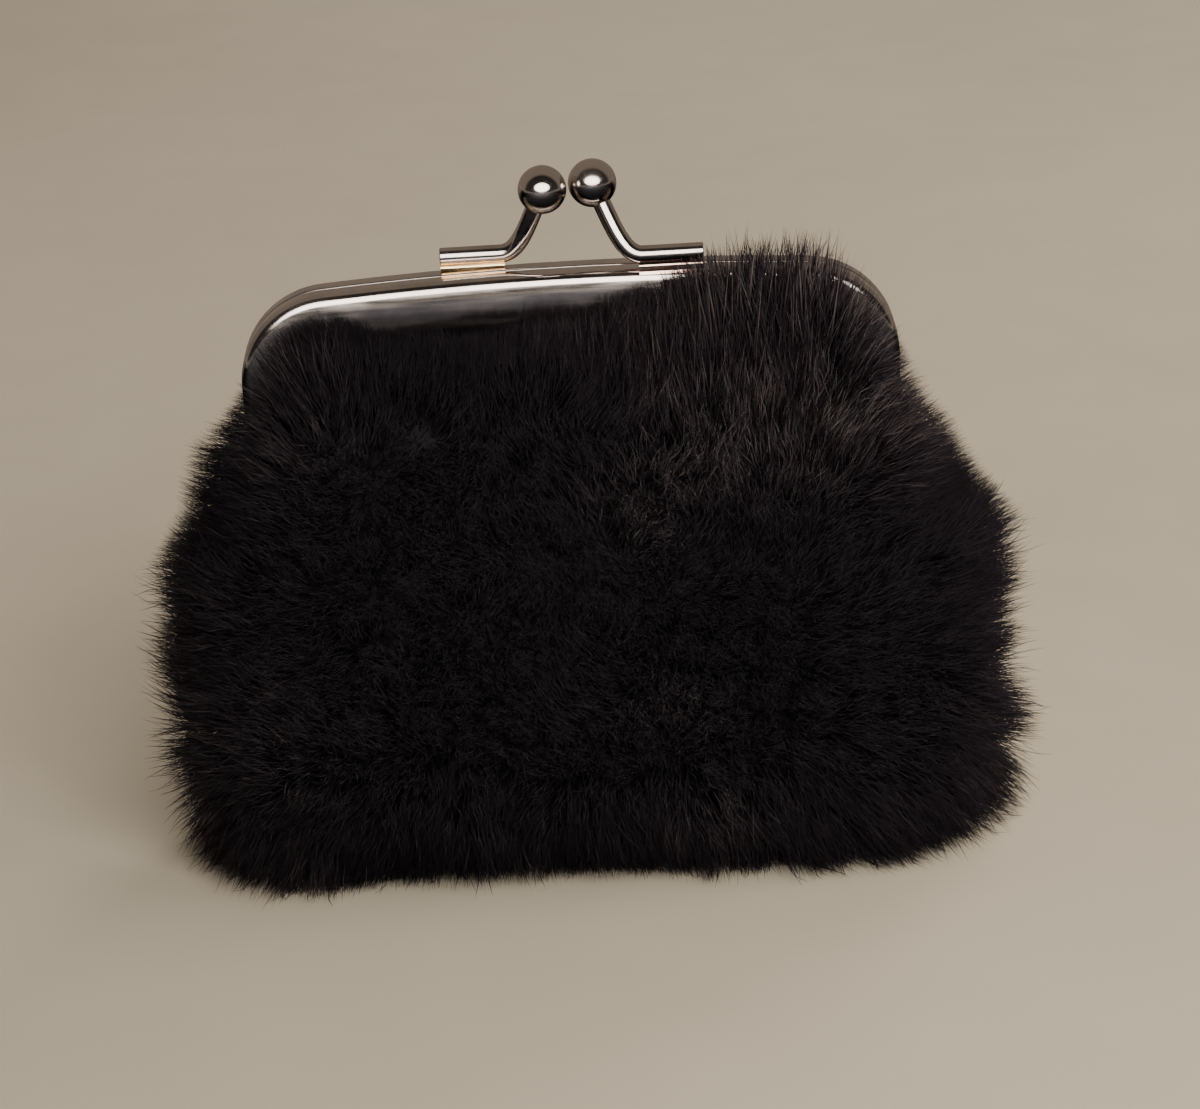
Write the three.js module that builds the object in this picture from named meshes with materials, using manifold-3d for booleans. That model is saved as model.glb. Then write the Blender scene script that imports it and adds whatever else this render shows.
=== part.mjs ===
// Clasp coin purse: a deep-pile pouch of two panels, glued into a sprung frame with a ball lock.
//
// Millimetres. X runs along the frame, Y from front to back, Z up. The origin is on the surface
// that the purse stands on, under the middle of its base. The purse is shut.

import * as THREE from 'three';
import { mergeVertices } from 'three/addons/utils/BufferGeometryUtils.js';
import Module from 'manifold-3d';

// Frame: two bent channels, one for each panel, riveted together at the ends of their legs.
const FRAME_WIDTH = 86;
const FRAME_TOP = 81.1;
const ARCH_RADIUS = 440;
const CORNER_RADIUS = 12;
const LEG_END = 46;
const RAIL_DEPTH = 3.9;
const RAIL_FACE = 7.5;
const RAIL_ROUNDING = 1.5;
const RAIL_EDGE = 0.35;
const METAL = 0.7;
const RAIL_STEPS = 54;

// Hinge: an ear on each leg, one inside the other, and a rivet through both.
const HINGE_HEIGHT = 41.5;
const EAR_RADIUS = 2.2;
const EAR_THICKNESS = 0.6;
const EAR_ROOT = 2.4;
const EAR_INSET = 0.05;
const EAR_SPACE = 0.4;
const RIVET_RADIUS = 0.9;
const RIVET_HEAD = { radius: 1.8, thickness: 0.7 };

// Lock: a rod on each channel that rises to a ball. The balls snap past each other.
const LOCK_SHIFT = 0.9;
const ROD_RADIUS = 1.2;
const ROD_HEIGHT = 82.7;
const FOOT = { inner: 9.3, outer: 17.1 };
const ROD_BEND = { atFoot: 2.6, atBall: 2.4, underBall: 5.5 };
const SADDLE = { width: 1.9, root: 0.6 };
const BALL = { radius: 3.15, x: 3.25, y: 0.95, z: 91.8 };

// Pouch: the outer form of the pile, and the hollow inside its cloth.
const GAP = 0.3;
const CLOTH = { thickness: 1.4, belowRail: 2.5, aboveLegEnd: 3 };
const PILE_OVER_RAIL = 3;
const INSIDE_OUTLINE = 0.4;
const BROW = { height: 72.4, lobeStart: 18.4 };

// Outer form, a row for each level, from the base up. Left and right are half widths, and depth is
// half of the thickness. Roundness is 2 for an ellipse, and more for a squarer outline.
const OUTER_FORM = [
  { height: 0, left: 51.5, right: 51.5, depth: 14.5, roundness: 3.4 },
  { height: 1.5, left: 53.8, right: 53.6, depth: 16.7, roundness: 3 },
  { height: 4, left: 55.4, right: 56, depth: 18.3, roundness: 2.7 },
  { height: 8, left: 56.2, right: 57.2, depth: 19.5, roundness: 2.5 },
  { height: 13, left: 56.4, right: 57.8, depth: 20.2, roundness: 2.4 },
  { height: 20, left: 57.8, right: 57, depth: 20.5, roundness: 2.4 },
  { height: 26, left: 57, right: 55.7, depth: 20.3, roundness: 2.4 },
  { height: 32, left: 57, right: 56.4, depth: 19.8, roundness: 2.4 },
  { height: 38, left: 56.1, right: 57.2, depth: 18.9, roundness: 2.4 },
  { height: 43, left: 54.8, right: 55.6, depth: 17.8, roundness: 2.4 },
  { height: 48, left: 52.4, right: 53.2, depth: 16.4, roundness: 2.4 },
  { height: 53, left: 50.2, right: 49.9, depth: 14.7, roundness: 2.5 },
  { height: 58, left: 48.4, right: 46.9, depth: 12.8, roundness: 2.6 },
  { height: 62, left: 46.6, right: 44.9, depth: 11.2, roundness: 2.8 },
  { height: 66, left: 44.2, right: 43.3, depth: 9.5, roundness: 3.4 },
];

// Hollow inside the cloth, a row for each level.
const HOLLOW = [
  { height: 5, half: 40, depth: 7, roundness: 2.8 },
  { height: 8, half: 44.5, depth: 9.8, roundness: 2.6 },
  { height: 14, half: 47.4, depth: 12, roundness: 2.4 },
  { height: 22, half: 47.6, depth: 12.6, roundness: 2.4 },
  { height: 29, half: 45.5, depth: 12.3, roundness: 2.4 },
  { height: 35, half: 40.5, depth: 11.6, roundness: 2.5 },
  { height: 40, half: 37, depth: 10.8, roundness: 2.6 },
  { height: 48, half: 34.5, depth: 9.3, roundness: 2.8 },
  { height: 56, half: 33.8, depth: 7.4, roundness: 3 },
  { height: 62, half: 33.2, depth: 5.8, roundness: 3.2 },
  { height: 67.5, half: 32, depth: 4.2, roundness: 3.4 },
  { height: 72, half: 30, depth: 1.9, roundness: 3.6 },
  { height: 75, half: 29, depth: 1.3, roundness: 4 },
];

const wasm = await Module();
wasm.setup();

// ---------- solids and meshes ----------

function solidOf(geometry) {
  const plain = geometry.index ? geometry.toNonIndexed() : geometry.clone();
  plain.deleteAttribute('normal');
  plain.deleteAttribute('uv');
  const merged = mergeVertices(plain, 1e-4);
  return new wasm.Manifold(new wasm.Mesh({
    numProp: 3,
    vertProperties: Float32Array.from(merged.attributes.position.array),
    triVerts: Uint32Array.from(merged.index.array),
  }));
}

function geometryOf(solid) {
  const mesh = solid.getMesh();
  const geometry = new THREE.BufferGeometry();
  geometry.setAttribute('position', new THREE.BufferAttribute(mesh.vertProperties, mesh.numProp));
  geometry.setIndex(new THREE.BufferAttribute(mesh.triVerts, 1));
  const flat = geometry.toNonIndexed();
  flat.computeVertexNormals();
  return flat;
}

function boxSolid(low, high) {
  const size = high.map((value, axis) => value - low[axis]);
  const box = new THREE.BoxGeometry(...size);
  box.translate(...low.map((value, axis) => value + size[axis] / 2));
  return solidOf(box);
}

// A closed skin over rings that all have the same number of points, counter-clockwise from above.
function loft(rings) {
  const count = rings[0].length;
  const points = rings.flat();
  const faces = [];
  for (let level = 0; level < rings.length - 1; level += 1) {
    for (let side = 0; side < count; side += 1) {
      const a = level * count + side;
      const b = level * count + (side + 1) % count;
      faces.push(a, b, b + count, a, b + count, a + count);
    }
  }
  const last = (rings.length - 1) * count;
  for (let side = 1; side < count - 1; side += 1) {
    faces.push(0, side + 1, side);
    faces.push(last, last + side, last + side + 1);
  }
  const geometry = new THREE.BufferGeometry().setFromPoints(points);
  geometry.setIndex(faces);
  return solidOf(geometry);
}

// The rows with one more between each two, on a smooth curve through them.
function refine(rows) {
  const fine = [];
  rows.forEach((row, index) => {
    fine.push(row);
    if (index === rows.length - 1) return;
    const before = rows[Math.max(index - 1, 0)];
    const next = rows[index + 1];
    const after = rows[Math.min(index + 2, rows.length - 1)];
    const middle = Object.keys(row).map((name) => [
      name,
      (9 * (row[name] + next[name]) - before[name] - after[name]) / 16,
    ]);
    fine.push(Object.fromEntries(middle));
  });
  return fine;
}

function ovalRing({ height, left, right, depth, roundness }, sides) {
  const ring = [];
  for (let step = 0; step < sides; step += 1) {
    const angle = (2 * Math.PI * step) / sides;
    const along = Math.sign(Math.cos(angle)) * Math.abs(Math.cos(angle)) ** (2 / roundness);
    const across = Math.sign(Math.sin(angle)) * Math.abs(Math.sin(angle)) ** (2 / roundness);
    ring.push(new THREE.Vector3(along * (along > 0 ? right : left), across * depth, height));
  }
  return ring;
}

// ---------- frame ----------

const FRAME_HALF = FRAME_WIDTH / 2;
const SHOULDER = FRAME_HALF - CORNER_RADIUS;
const ARCH_CENTRE = FRAME_TOP - ARCH_RADIUS;
const CORNER_HEIGHT = ARCH_CENTRE
  + Math.sqrt((ARCH_RADIUS - CORNER_RADIUS) ** 2 - SHOULDER ** 2);

// The outer edge of a channel, from the left leg's end over the top to the right leg's end.
function railPath(legEnd) {
  const tilt = Math.asin(SHOULDER / (ARCH_RADIUS - CORNER_RADIUS));
  const arc = (x, z, radius, from, to) => ({ x, z, radius, from, to });
  const arcs = [
    arc(-SHOULDER, CORNER_HEIGHT, CORNER_RADIUS, Math.PI, Math.PI / 2 + tilt),
    arc(0, ARCH_CENTRE, ARCH_RADIUS, Math.PI / 2 + tilt, Math.PI / 2 - tilt),
    arc(SHOULDER, CORNER_HEIGHT, CORNER_RADIUS, Math.PI / 2 - tilt, 0),
  ];
  const path = new THREE.CurvePath();
  const point = (x, z) => new THREE.Vector3(x, 0, z);
  path.add(new THREE.LineCurve3(point(-FRAME_HALF, legEnd), point(-FRAME_HALF, CORNER_HEIGHT)));
  for (const { x, z, radius, from, to } of arcs) {
    const curve = new THREE.Curve();
    curve.getPoint = (t, target = new THREE.Vector3()) => {
      const angle = from + (to - from) * t;
      return target.set(x + radius * Math.cos(angle), 0, z + radius * Math.sin(angle));
    };
    path.add(curve);
  }
  path.add(new THREE.LineCurve3(point(FRAME_HALF, CORNER_HEIGHT), point(FRAME_HALF, legEnd)));
  return path;
}

// Sweeps a section along the frame. Its x runs to the front, and its y inwards from the edge.
function sweepRail(section, legEnd) {
  return solidOf(new THREE.ExtrudeGeometry(section, {
    steps: RAIL_STEPS,
    extrudePath: railPath(legEnd),
    curveSegments: 4,
    bevelEnabled: false,
  }));
}

function channelSection() {
  const inner = GAP / 2;
  const outer = inner + RAIL_DEPTH;
  const section = new THREE.Shape();
  section.moveTo(inner, RAIL_FACE - METAL / 2);
  section.lineTo(inner, RAIL_EDGE);
  section.lineTo(inner + RAIL_EDGE, 0);
  section.lineTo(outer - RAIL_ROUNDING, 0);
  section.absarc(outer - RAIL_ROUNDING, RAIL_ROUNDING, RAIL_ROUNDING, -Math.PI / 2, 0, false);
  section.lineTo(outer, RAIL_FACE - METAL / 2);
  section.lineTo(outer - METAL / 2, RAIL_FACE);
  section.lineTo(outer - METAL, RAIL_FACE);
  section.lineTo(outer - METAL, METAL);
  section.lineTo(inner + METAL, METAL);
  section.lineTo(inner + METAL, RAIL_FACE);
  section.lineTo(inner + METAL / 2, RAIL_FACE);
  section.closePath();
  return section;
}

function rectangle(left, right, low, high) {
  const shape = new THREE.Shape();
  shape.moveTo(left, low);
  shape.lineTo(right, low);
  shape.lineTo(right, high);
  shape.lineTo(left, high);
  shape.closePath();
  return shape;
}

// A flat ear in the YZ plane: its root is as wide as the channel, and its end is round.
function hingeEar(outerFace) {
  const root = { near: GAP / 2 + METAL / 2, far: GAP / 2 + RAIL_DEPTH - METAL / 2 };
  const outline = new THREE.Shape();
  outline.moveTo(-root.near, LEG_END + EAR_ROOT);
  outline.lineTo(-root.far, LEG_END + EAR_ROOT);
  outline.lineTo(-root.far, LEG_END - METAL);
  outline.absarc(0, HINGE_HEIGHT, EAR_RADIUS, Math.PI, 2.35 * Math.PI, false);
  outline.lineTo(-root.near, LEG_END - METAL);
  outline.closePath();
  const hole = new THREE.Path();
  hole.absarc(0, HINGE_HEIGHT, RIVET_RADIUS + GAP, 0, 2 * Math.PI, true);
  outline.holes.push(hole);
  const ear = new THREE.ExtrudeGeometry(outline, {
    depth: EAR_THICKNESS,
    bevelEnabled: false,
    curveSegments: 12,
  });
  ear.applyMatrix4(new THREE.Matrix4().makeBasis(
    new THREE.Vector3(0, 1, 0),
    new THREE.Vector3(0, 0, 1),
    new THREE.Vector3(1, 0, 0),
  ));
  return solidOf(ear).translate([outerFace - EAR_THICKNESS, 0, 0]);
}

// The rod of one lock arm: a straight foot on the channel, then an S-bend up to the ball.
function lockRod(shift, railMiddle) {
  const place = (x, y, z) => new THREE.Vector3(x + shift, y, z);
  const path = new THREE.CurvePath();
  path.add(new THREE.LineCurve3(
    place(FOOT.outer, -railMiddle, ROD_HEIGHT),
    place(FOOT.inner, -railMiddle, ROD_HEIGHT),
  ));
  path.add(new THREE.CubicBezierCurve3(
    place(FOOT.inner, -railMiddle, ROD_HEIGHT),
    place(FOOT.inner - ROD_BEND.atFoot, -railMiddle, ROD_HEIGHT),
    place(BALL.x + ROD_BEND.atBall, -railMiddle / 3, BALL.z - ROD_BEND.underBall),
    place(BALL.x, BALL.y, BALL.z),
  ));
  const circle = new THREE.Shape();
  circle.absarc(0, 0, ROD_RADIUS, 0, 2 * Math.PI, false);
  return solidOf(new THREE.ExtrudeGeometry(circle, {
    steps: 20,
    extrudePath: path,
    curveSegments: 6,
    bevelEnabled: false,
  }));
}

function lockArm(shift) {
  const railMiddle = GAP / 2 + RAIL_DEPTH / 2;
  const ball = new THREE.SphereGeometry(BALL.radius, 20, 12);
  ball.translate(BALL.x + shift, BALL.y, BALL.z);
  const saddle = boxSolid(
    [FOOT.inner + shift, -railMiddle - SADDLE.width / 2, FRAME_TOP - SADDLE.root],
    [FOOT.outer + shift, -railMiddle + SADDLE.width / 2, ROD_HEIGHT],
  );
  return lockRod(shift, railMiddle).add(saddle).add(solidOf(ball));
}

// One half of the frame as the front one lies. The rear one is the same, turned half a turn.
function frameHalf(earFace, shift) {
  const rail = sweepRail(channelSection(), LEG_END);
  const rightEar = hingeEar(earFace);
  const leftEar = hingeEar(EAR_THICKNESS - earFace);
  return rail.add(rightEar).add(leftEar).add(lockArm(shift));
}

// ---------- hinge ----------

const OUTER_EAR_FACE = FRAME_HALF - EAR_INSET;
const INNER_EAR_FACE = OUTER_EAR_FACE - EAR_THICKNESS - EAR_SPACE;
const RIVET_SPAN = {
  inner: INNER_EAR_FACE - EAR_THICKNESS - GAP,
  outer: OUTER_EAR_FACE + GAP,
};

function hingeRivet() {
  const { inner, outer } = RIVET_SPAN;
  const { radius, thickness } = RIVET_HEAD;
  const profile = [
    [0, inner - thickness],
    [radius, inner - thickness],
    [radius, inner],
    [RIVET_RADIUS, inner],
    [RIVET_RADIUS, outer],
    [radius, outer],
    [radius * 0.8, outer + thickness * 0.6],
    [radius * 0.4, outer + thickness * 0.95],
    [0, outer + thickness],
  ].map(([r, along]) => new THREE.Vector2(r, along));
  const rivet = new THREE.LatheGeometry(profile, 20);
  rivet.rotateZ(-Math.PI / 2);
  return solidOf(rivet);
}

// ---------- pouch ----------

// Half of the frame's width at a height above its shoulders' start.
function frameHalfWidth(height) {
  const rise = Math.max(0, height - CORNER_HEIGHT);
  return SHOULDER + Math.sqrt(Math.max(0, CORNER_RADIUS ** 2 - rise ** 2));
}

// Beside the frame's corners the pile keeps just inside the frame's outline.
function pileBesideFrame() {
  return [0, 0.25, 0.47, 0.66, 0.82, 0.92].map((rise) => {
    const height = CORNER_HEIGHT + rise * CORNER_RADIUS;
    const half = frameHalfWidth(height) - INSIDE_OUTLINE;
    const depth = GAP / 2 + RAIL_DEPTH + PILE_OVER_RAIL * (1 + (1 - rise) ** 3 / 3);
    return { height, left: half, right: half, depth, roundness: 4 + 3 * rise };
  });
}

// Room in the pile for the two channels and, at each side, for the hinge.
function roomForFrame() {
  const deep = RAIL_DEPTH + GAP * 1.5;
  const channels = rectangle(-deep, deep, -2 * METAL, RAIL_FACE + GAP);
  const room = [sweepRail(channels, LEG_END - GAP)];
  const near = RIVET_SPAN.inner - RIVET_HEAD.thickness - GAP;
  const far = RIVET_SPAN.outer + RIVET_HEAD.thickness + GAP;
  for (const [low, high] of [[near, far], [-far, -near]]) {
    room.push(boxSolid(
      [low, -deep, HINGE_HEIGHT - EAR_RADIUS - GAP],
      [high, deep, LEG_END],
    ));
  }
  return room;
}

function pouch() {
  const levels = [...refine(OUTER_FORM), ...pileBesideFrame()];
  const outer = loft(levels.map((row) => ovalRing(row, 52)));
  const hollow = loft(HOLLOW.map((row) => ovalRing({ ...row, left: row.half, right: row.half }, 48)));
  const reach = FRAME_WIDTH;
  const seam = boxSolid([-reach, -GAP / 2, -1], [reach, GAP / 2, reach]);
  const aboveBack = boxSolid([-reach, 0, BROW.height], [reach, reach, reach]);
  const aboveFront = boxSolid([-reach, -reach, BROW.height], [BROW.lobeStart, 0, reach]);
  return [hollow, seam, aboveBack, aboveFront, ...roomForFrame()]
    .reduce((body, cut) => body.subtract(cut), outer);
}

// The panel's bare upper edge, which the channel grips.
function clothEdge() {
  const middle = GAP / 2 + RAIL_DEPTH / 2;
  const section = rectangle(
    middle - CLOTH.thickness / 2,
    middle + CLOTH.thickness / 2,
    METAL + GAP,
    RAIL_FACE + CLOTH.belowRail,
  );
  return sweepRail(section, LEG_END + CLOTH.aboveLegEnd);
}

function panels() {
  const body = pouch();
  const reach = FRAME_WIDTH;
  const frontHalf = boxSolid([-reach, -reach, -1], [reach, 0, reach]);
  const backHalf = boxSolid([-reach, 0, -1], [reach, reach, reach]);
  const frontEdge = clothEdge();
  const backEdge = frontEdge.rotate([0, 0, 180]);
  return {
    front: body.intersect(frontHalf).add(frontEdge),
    back: body.intersect(backHalf).add(backEdge),
  };
}

// ---------- the object ----------

const nickel = () => new THREE.MeshStandardMaterial({
  color: 0xc9c5bf,
  roughness: 0.12,
  metalness: 1,
});
const fur = () => new THREE.MeshStandardMaterial({ color: 0x120d10, roughness: 0.85, metalness: 0 });

function piece(name, solid, material) {
  const mesh = new THREE.Mesh(geometryOf(solid), material);
  mesh.name = name;
  return mesh;
}

const purse = new THREE.Group();

const frame = new THREE.Group();
const rearFrame = piece('rear_frame', frameHalf(INNER_EAR_FACE, -LOCK_SHIFT), nickel());
rearFrame.rotation.z = Math.PI;
frame.add(piece('front_frame', frameHalf(OUTER_EAR_FACE, LOCK_SHIFT), nickel()), rearFrame);
for (const [name, turn] of [['hinge_rivet_right', 0], ['hinge_rivet_left', Math.PI]]) {
  const rivet = piece(name, hingeRivet(), nickel());
  rivet.position.z = HINGE_HEIGHT;
  rivet.rotation.z = turn;
  frame.add(rivet);
}

const body = new THREE.Group();
const { front, back } = panels();
body.add(piece('fur_front_panel', front, fur()), piece('fur_back_panel', back, fur()));

purse.add(frame, body);

export default purse;
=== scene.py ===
import math

import bmesh
import bpy
from mathutils import Matrix, Vector


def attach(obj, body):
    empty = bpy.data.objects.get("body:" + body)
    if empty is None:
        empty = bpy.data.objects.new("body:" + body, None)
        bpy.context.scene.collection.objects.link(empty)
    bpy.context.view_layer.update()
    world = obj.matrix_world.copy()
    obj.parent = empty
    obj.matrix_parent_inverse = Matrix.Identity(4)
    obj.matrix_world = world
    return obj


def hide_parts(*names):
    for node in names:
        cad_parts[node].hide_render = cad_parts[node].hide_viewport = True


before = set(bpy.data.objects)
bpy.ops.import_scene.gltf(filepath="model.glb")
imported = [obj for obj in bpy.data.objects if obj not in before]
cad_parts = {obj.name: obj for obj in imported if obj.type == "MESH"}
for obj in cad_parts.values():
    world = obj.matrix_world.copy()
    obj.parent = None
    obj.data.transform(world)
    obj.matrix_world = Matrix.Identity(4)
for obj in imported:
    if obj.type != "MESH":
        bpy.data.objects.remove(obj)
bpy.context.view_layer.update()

# ----- View -----
# A long lens looks slightly down on the front of the shut purse, and leans a little to one side.
# The purse stands by itself, so the lens keeps it whole with room all round.
MM = 0.001
VIEW_TARGET = Vector((2.4, 0, 40.8)) * MM
VIEW_DISTANCE = 500 * MM
VIEW_HEIGHT_ANGLE = math.radians(21)
VIEW_LEAN = math.radians(3.3)
VIEW_LENS = 112.2
FILM_WIDTH = 36


def aimed(name, data, position, target, lean=0):
    """A camera or lamp at a place, turned to its target."""
    forward = (Vector(target) - Vector(position)).normalized()
    turn = forward.to_track_quat("-Z", "Y").to_matrix().to_4x4()
    thing = bpy.data.objects.new(name, data)
    thing.matrix_world = Matrix.Translation(position) @ turn @ Matrix.Rotation(-lean, 4, "Z")
    bpy.context.scene.collection.objects.link(thing)
    return thing


lens = bpy.data.cameras.new("view")
lens.lens = VIEW_LENS
lens.sensor_width = FILM_WIDTH
lens.clip_start = 10 * MM
back_off = Vector((0, -math.cos(VIEW_HEIGHT_ANGLE), math.sin(VIEW_HEIGHT_ANGLE)))
bpy.context.scene.camera = aimed(
    "view", lens, VIEW_TARGET + back_off * VIEW_DISTANCE, VIEW_TARGET, VIEW_LEAN
)

# ----- Studio -----
# A plain pale floor with a faint mottle, which fades far off into a plain backdrop. A large soft
# lamp stands high in front, two more stand to the right, and one behind lights the purse's back.
FLOOR_RADIUS = 8
FLOOR_SIDES = 96
FLOOR_PALE = (0.50, 0.44, 0.345, 1)
FLOOR_DEEP = (0.465, 0.405, 0.315, 1)
HORIZON = (0.50, 0.455, 0.385, 1)
FADE_START = 0.5
FADE_END = 1.7
BLACK = (0, 0, 0, 1)
LAMP_TARGET = (0, 0, 0.04)
LAMPS = [
    # name, position, width, length, watts, colour
    ("key_lamp", (0.33, -0.84, 0.62), 0.76, 0.46, 17, (1.0, 0.955, 0.88)),
    ("side_lamp", (0.95, -0.20, 0.55), 0.75, 0.60, 8, (1.0, 0.93, 0.83)),
    ("far_lamp", (0.70, 0.95, 0.80), 0.70, 0.50, 8.5, (1.0, 0.95, 0.88)),
    ("back_lamp", (-0.35, 0.90, 0.55), 0.60, 0.45, 17, (1.0, 0.96, 0.90)),
]
# Cards that only show in polished metal: white ahead of the purse, dark on the floor before it,
# and brown on the floor behind it. Each fades towards its edges.
CARDS = [
    # name, centre, width, length, tilt from lying flat, where the fade starts, glow
    ("white_card", (0.01, -0.70, 0.41), 1.20, 0.64, math.radians(62), 0.75, (7.0, 6.7, 6.35, 1)),
    ("dark_card", (0.0, -1.05, 0.001), 3.0, 2.3, 0, 0.2, (0.16, 0.16, 0.18, 1)),
    ("brown_card", (0.0, 2.1, 0.001), 6.0, 4.0, 0, 0.9, (0.19, 0.158, 0.132, 1)),
]
# The rest of the room as the purse meets it: dark ahead of it and brown behind, with the change
# between two directions. The view itself meets the horizon's colour.
ROOM_AHEAD = (0.03, 0.027, 0.026, 1)
ROOM_BEHIND = (0.23, 0.19, 0.155, 1)
ROOM_CHANGE = (-0.18, 0.08)


class Wire:
    """A node tree with one of its sockets. Arithmetic on it adds Math or Vector Math nodes."""

    def __init__(self, tree, socket=None):
        self.tree = tree
        self.socket = socket

    def add(self, kind, inputs=None, out=0, **settings):
        """Adds a node: its settings first, then the values or links of its sockets."""
        node = self.tree.nodes.new(kind)
        for name, value in settings.items():
            if name == "stops":
                ramp = node.color_ramp.elements
                while len(ramp) < len(value):
                    ramp.new(1)
                for element, (place, colour) in zip(ramp, value):
                    element.position = place
                    element.color = colour
            elif name == "knots":
                curve = node.mapping.curves[0]
                while len(curve.points) < len(value):
                    curve.points.new(0, 0)
                for point, place in zip(curve.points, value):
                    point.location = place
                node.mapping.update()
            else:
                setattr(node, name, value)
        live = [socket for socket in node.inputs if socket.enabled]
        for name, value in (inputs or {}).items():
            socket = live[name] if isinstance(name, int) else next(s for s in live if s.name == name)
            if isinstance(value, Wire):
                self.tree.links.new(value.socket, socket)
            else:
                socket.default_value = value
        outputs = [socket for socket in node.outputs if socket.enabled]
        found = outputs[out] if isinstance(out, int) else next(s for s in outputs if s.name == out)
        return Wire(self.tree, found)

    def is_vector(self):
        return self.socket.type in ("VECTOR", "RGBA")

    def work_out(self, operation, *terms, out=0):
        """A Math node, or a Vector Math node where any term is a vector."""
        if any(isinstance(t, (tuple, Vector)) or isinstance(t, Wire) and t.is_vector() for t in terms):
            wide = [(t, t, t) if isinstance(t, (int, float)) else t for t in terms]
            return self.add("ShaderNodeVectorMath", dict(enumerate(wide)), out, operation=operation)
        return self.add("ShaderNodeMath", dict(enumerate(terms)), operation=operation)

    def __add__(self, other):
        return self.work_out("ADD", self, other)

    __radd__ = __add__

    def __sub__(self, other):
        return self.work_out("SUBTRACT", self, other)

    def __rsub__(self, other):
        return self.work_out("SUBTRACT", other, self)

    def __mul__(self, other):
        return self.work_out("MULTIPLY", self, other)

    __rmul__ = __mul__

    def __truediv__(self, other):
        return self.work_out("DIVIDE", self, other)

    def __pow__(self, other):
        return self.work_out("POWER", self, other)

    def at_least(self, other):
        return self.work_out("MAXIMUM", self, other)

    def at_most(self, other):
        return self.work_out("MINIMUM", self, other)

    def size(self):
        return self.work_out("ABSOLUTE", self)

    def sign(self):
        return self.work_out("SIGN", self)

    def above(self, limit):
        return self.work_out("GREATER_THAN", self, limit)

    def below(self, limit):
        return self.work_out("LESS_THAN", self, limit)

    def unit(self):
        return self.work_out("NORMALIZE", self)

    def length(self):
        return self.work_out("LENGTH", self, out="Value")

    def cross(self, other):
        return self.work_out("CROSS_PRODUCT", self, other)

    def other(self, name):
        """Another output of this wire's node."""
        return Wire(self.tree, self.socket.node.outputs[name])

    def ramp(self, start, end, low=0.0, high=1.0):
        """Low up to start, high past end, and smooth between them."""
        places = {"Value": self, "From Min": start, "From Max": end, "To Min": low, "To Max": high}
        return self.add("ShaderNodeMapRange", places, interpolation_type="SMOOTHSTEP")

    def parts(self):
        split = self.add("ShaderNodeSeparateXYZ", {0: self})
        return [Wire(self.tree, socket) for socket in split.socket.node.outputs]

    def noise(self, scale, detail=2.0, out=0):
        return self.add("ShaderNodeTexNoise", {"Vector": self, "Scale": scale, "Detail": detail}, out)

    def blend(self, first, second):
        """Mixes two colours by this factor."""
        return self.add("ShaderNodeMix", {"Factor": self, "A": first, "B": second}, data_type="RGBA")

    def bump(self, strength, depth):
        """A normal that stands up and sinks with this pattern."""
        return self.add(
            "ShaderNodeBump", {"Height": self, "Strength": strength, "Distance": depth}, out="Normal"
        )


def finish_of(name, colour, roughness, bump=None, glow=None, **fixed):
    """A material. Each pattern is a fixed value, or a function of the start of the tree."""
    material = bpy.data.materials.new(name)
    material.use_nodes = True
    tree = material.node_tree
    shader = tree.nodes["Principled BSDF"]
    for socket, value in fixed.items():
        shader.inputs[socket.replace("_", " ")].default_value = value
    patterns = {"Base Color": colour, "Roughness": roughness, "Normal": bump, "Emission Color": glow}
    for socket, pattern in patterns.items():
        if callable(pattern):
            tree.links.new(pattern(Wire(tree)).socket, shader.inputs[socket])
        elif pattern is not None:
            shader.inputs[socket].default_value = pattern
    return material


def place_on_object(start):
    return start.add("ShaderNodeTexCoord", out="Object")


def far_off(start):
    """None where the lamps light the floor, and full where it passes into the backdrop."""
    return place_on_object(start).length().ramp(FADE_START, FADE_END)


def floor_colour(start):
    mottle = place_on_object(start).noise(3.5, 3).ramp(0.35, 0.65)
    return far_off(start).blend(mottle.blend(FLOOR_DEEP, FLOOR_PALE), BLACK)


def floor_roughness(start):
    return place_on_object(start).noise(60).ramp(0.3, 0.7, 0.5, 0.62)


def floor_grain(start):
    return place_on_object(start).noise(900, 4).bump(0.05, 0.2 * MM)


def floor_glow(start):
    return far_off(start).blend(BLACK, HORIZON)


disc = bmesh.new()
bmesh.ops.create_circle(disc, cap_ends=True, segments=FLOOR_SIDES, radius=FLOOR_RADIUS)
floor_mesh = bpy.data.meshes.new("floor")
disc.to_mesh(floor_mesh)
disc.free()
floor = bpy.data.objects.new("floor", floor_mesh)
pale_floor = finish_of(
    "pale_floor", floor_colour, floor_roughness, floor_grain, floor_glow, Emission_Strength=1
)
floor_mesh.materials.append(pale_floor)
bpy.context.scene.collection.objects.link(floor)

for name, position, width, length, watts, colour in LAMPS:
    lamp = bpy.data.lights.new(name, "AREA")
    lamp.shape = "RECTANGLE"
    lamp.size = width
    lamp.size_y = length
    lamp.energy = watts
    lamp.color = colour
    aimed(name, lamp, position, LAMP_TARGET).visible_glossy = False
# The lamp behind doesn't light the floor, where it would throw a shadow towards the view.
unlit = bpy.data.collections.new("not_lit_from_behind")
unlit.objects.link(floor)
unlit.collection_objects[0].light_linking.link_state = "EXCLUDE"
bpy.data.objects["back_lamp"].light_linking.receiver_collection = unlit


def card_glow(centre, half_size, fade, glow):
    """The pattern of a card's glow, full in its middle and black at its edges."""
    def pattern(start):
        off = (place_on_object(start) - centre) / half_size
        return off.length().ramp(fade, 1.0, 1, 0).blend(BLACK, glow)

    return pattern


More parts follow.
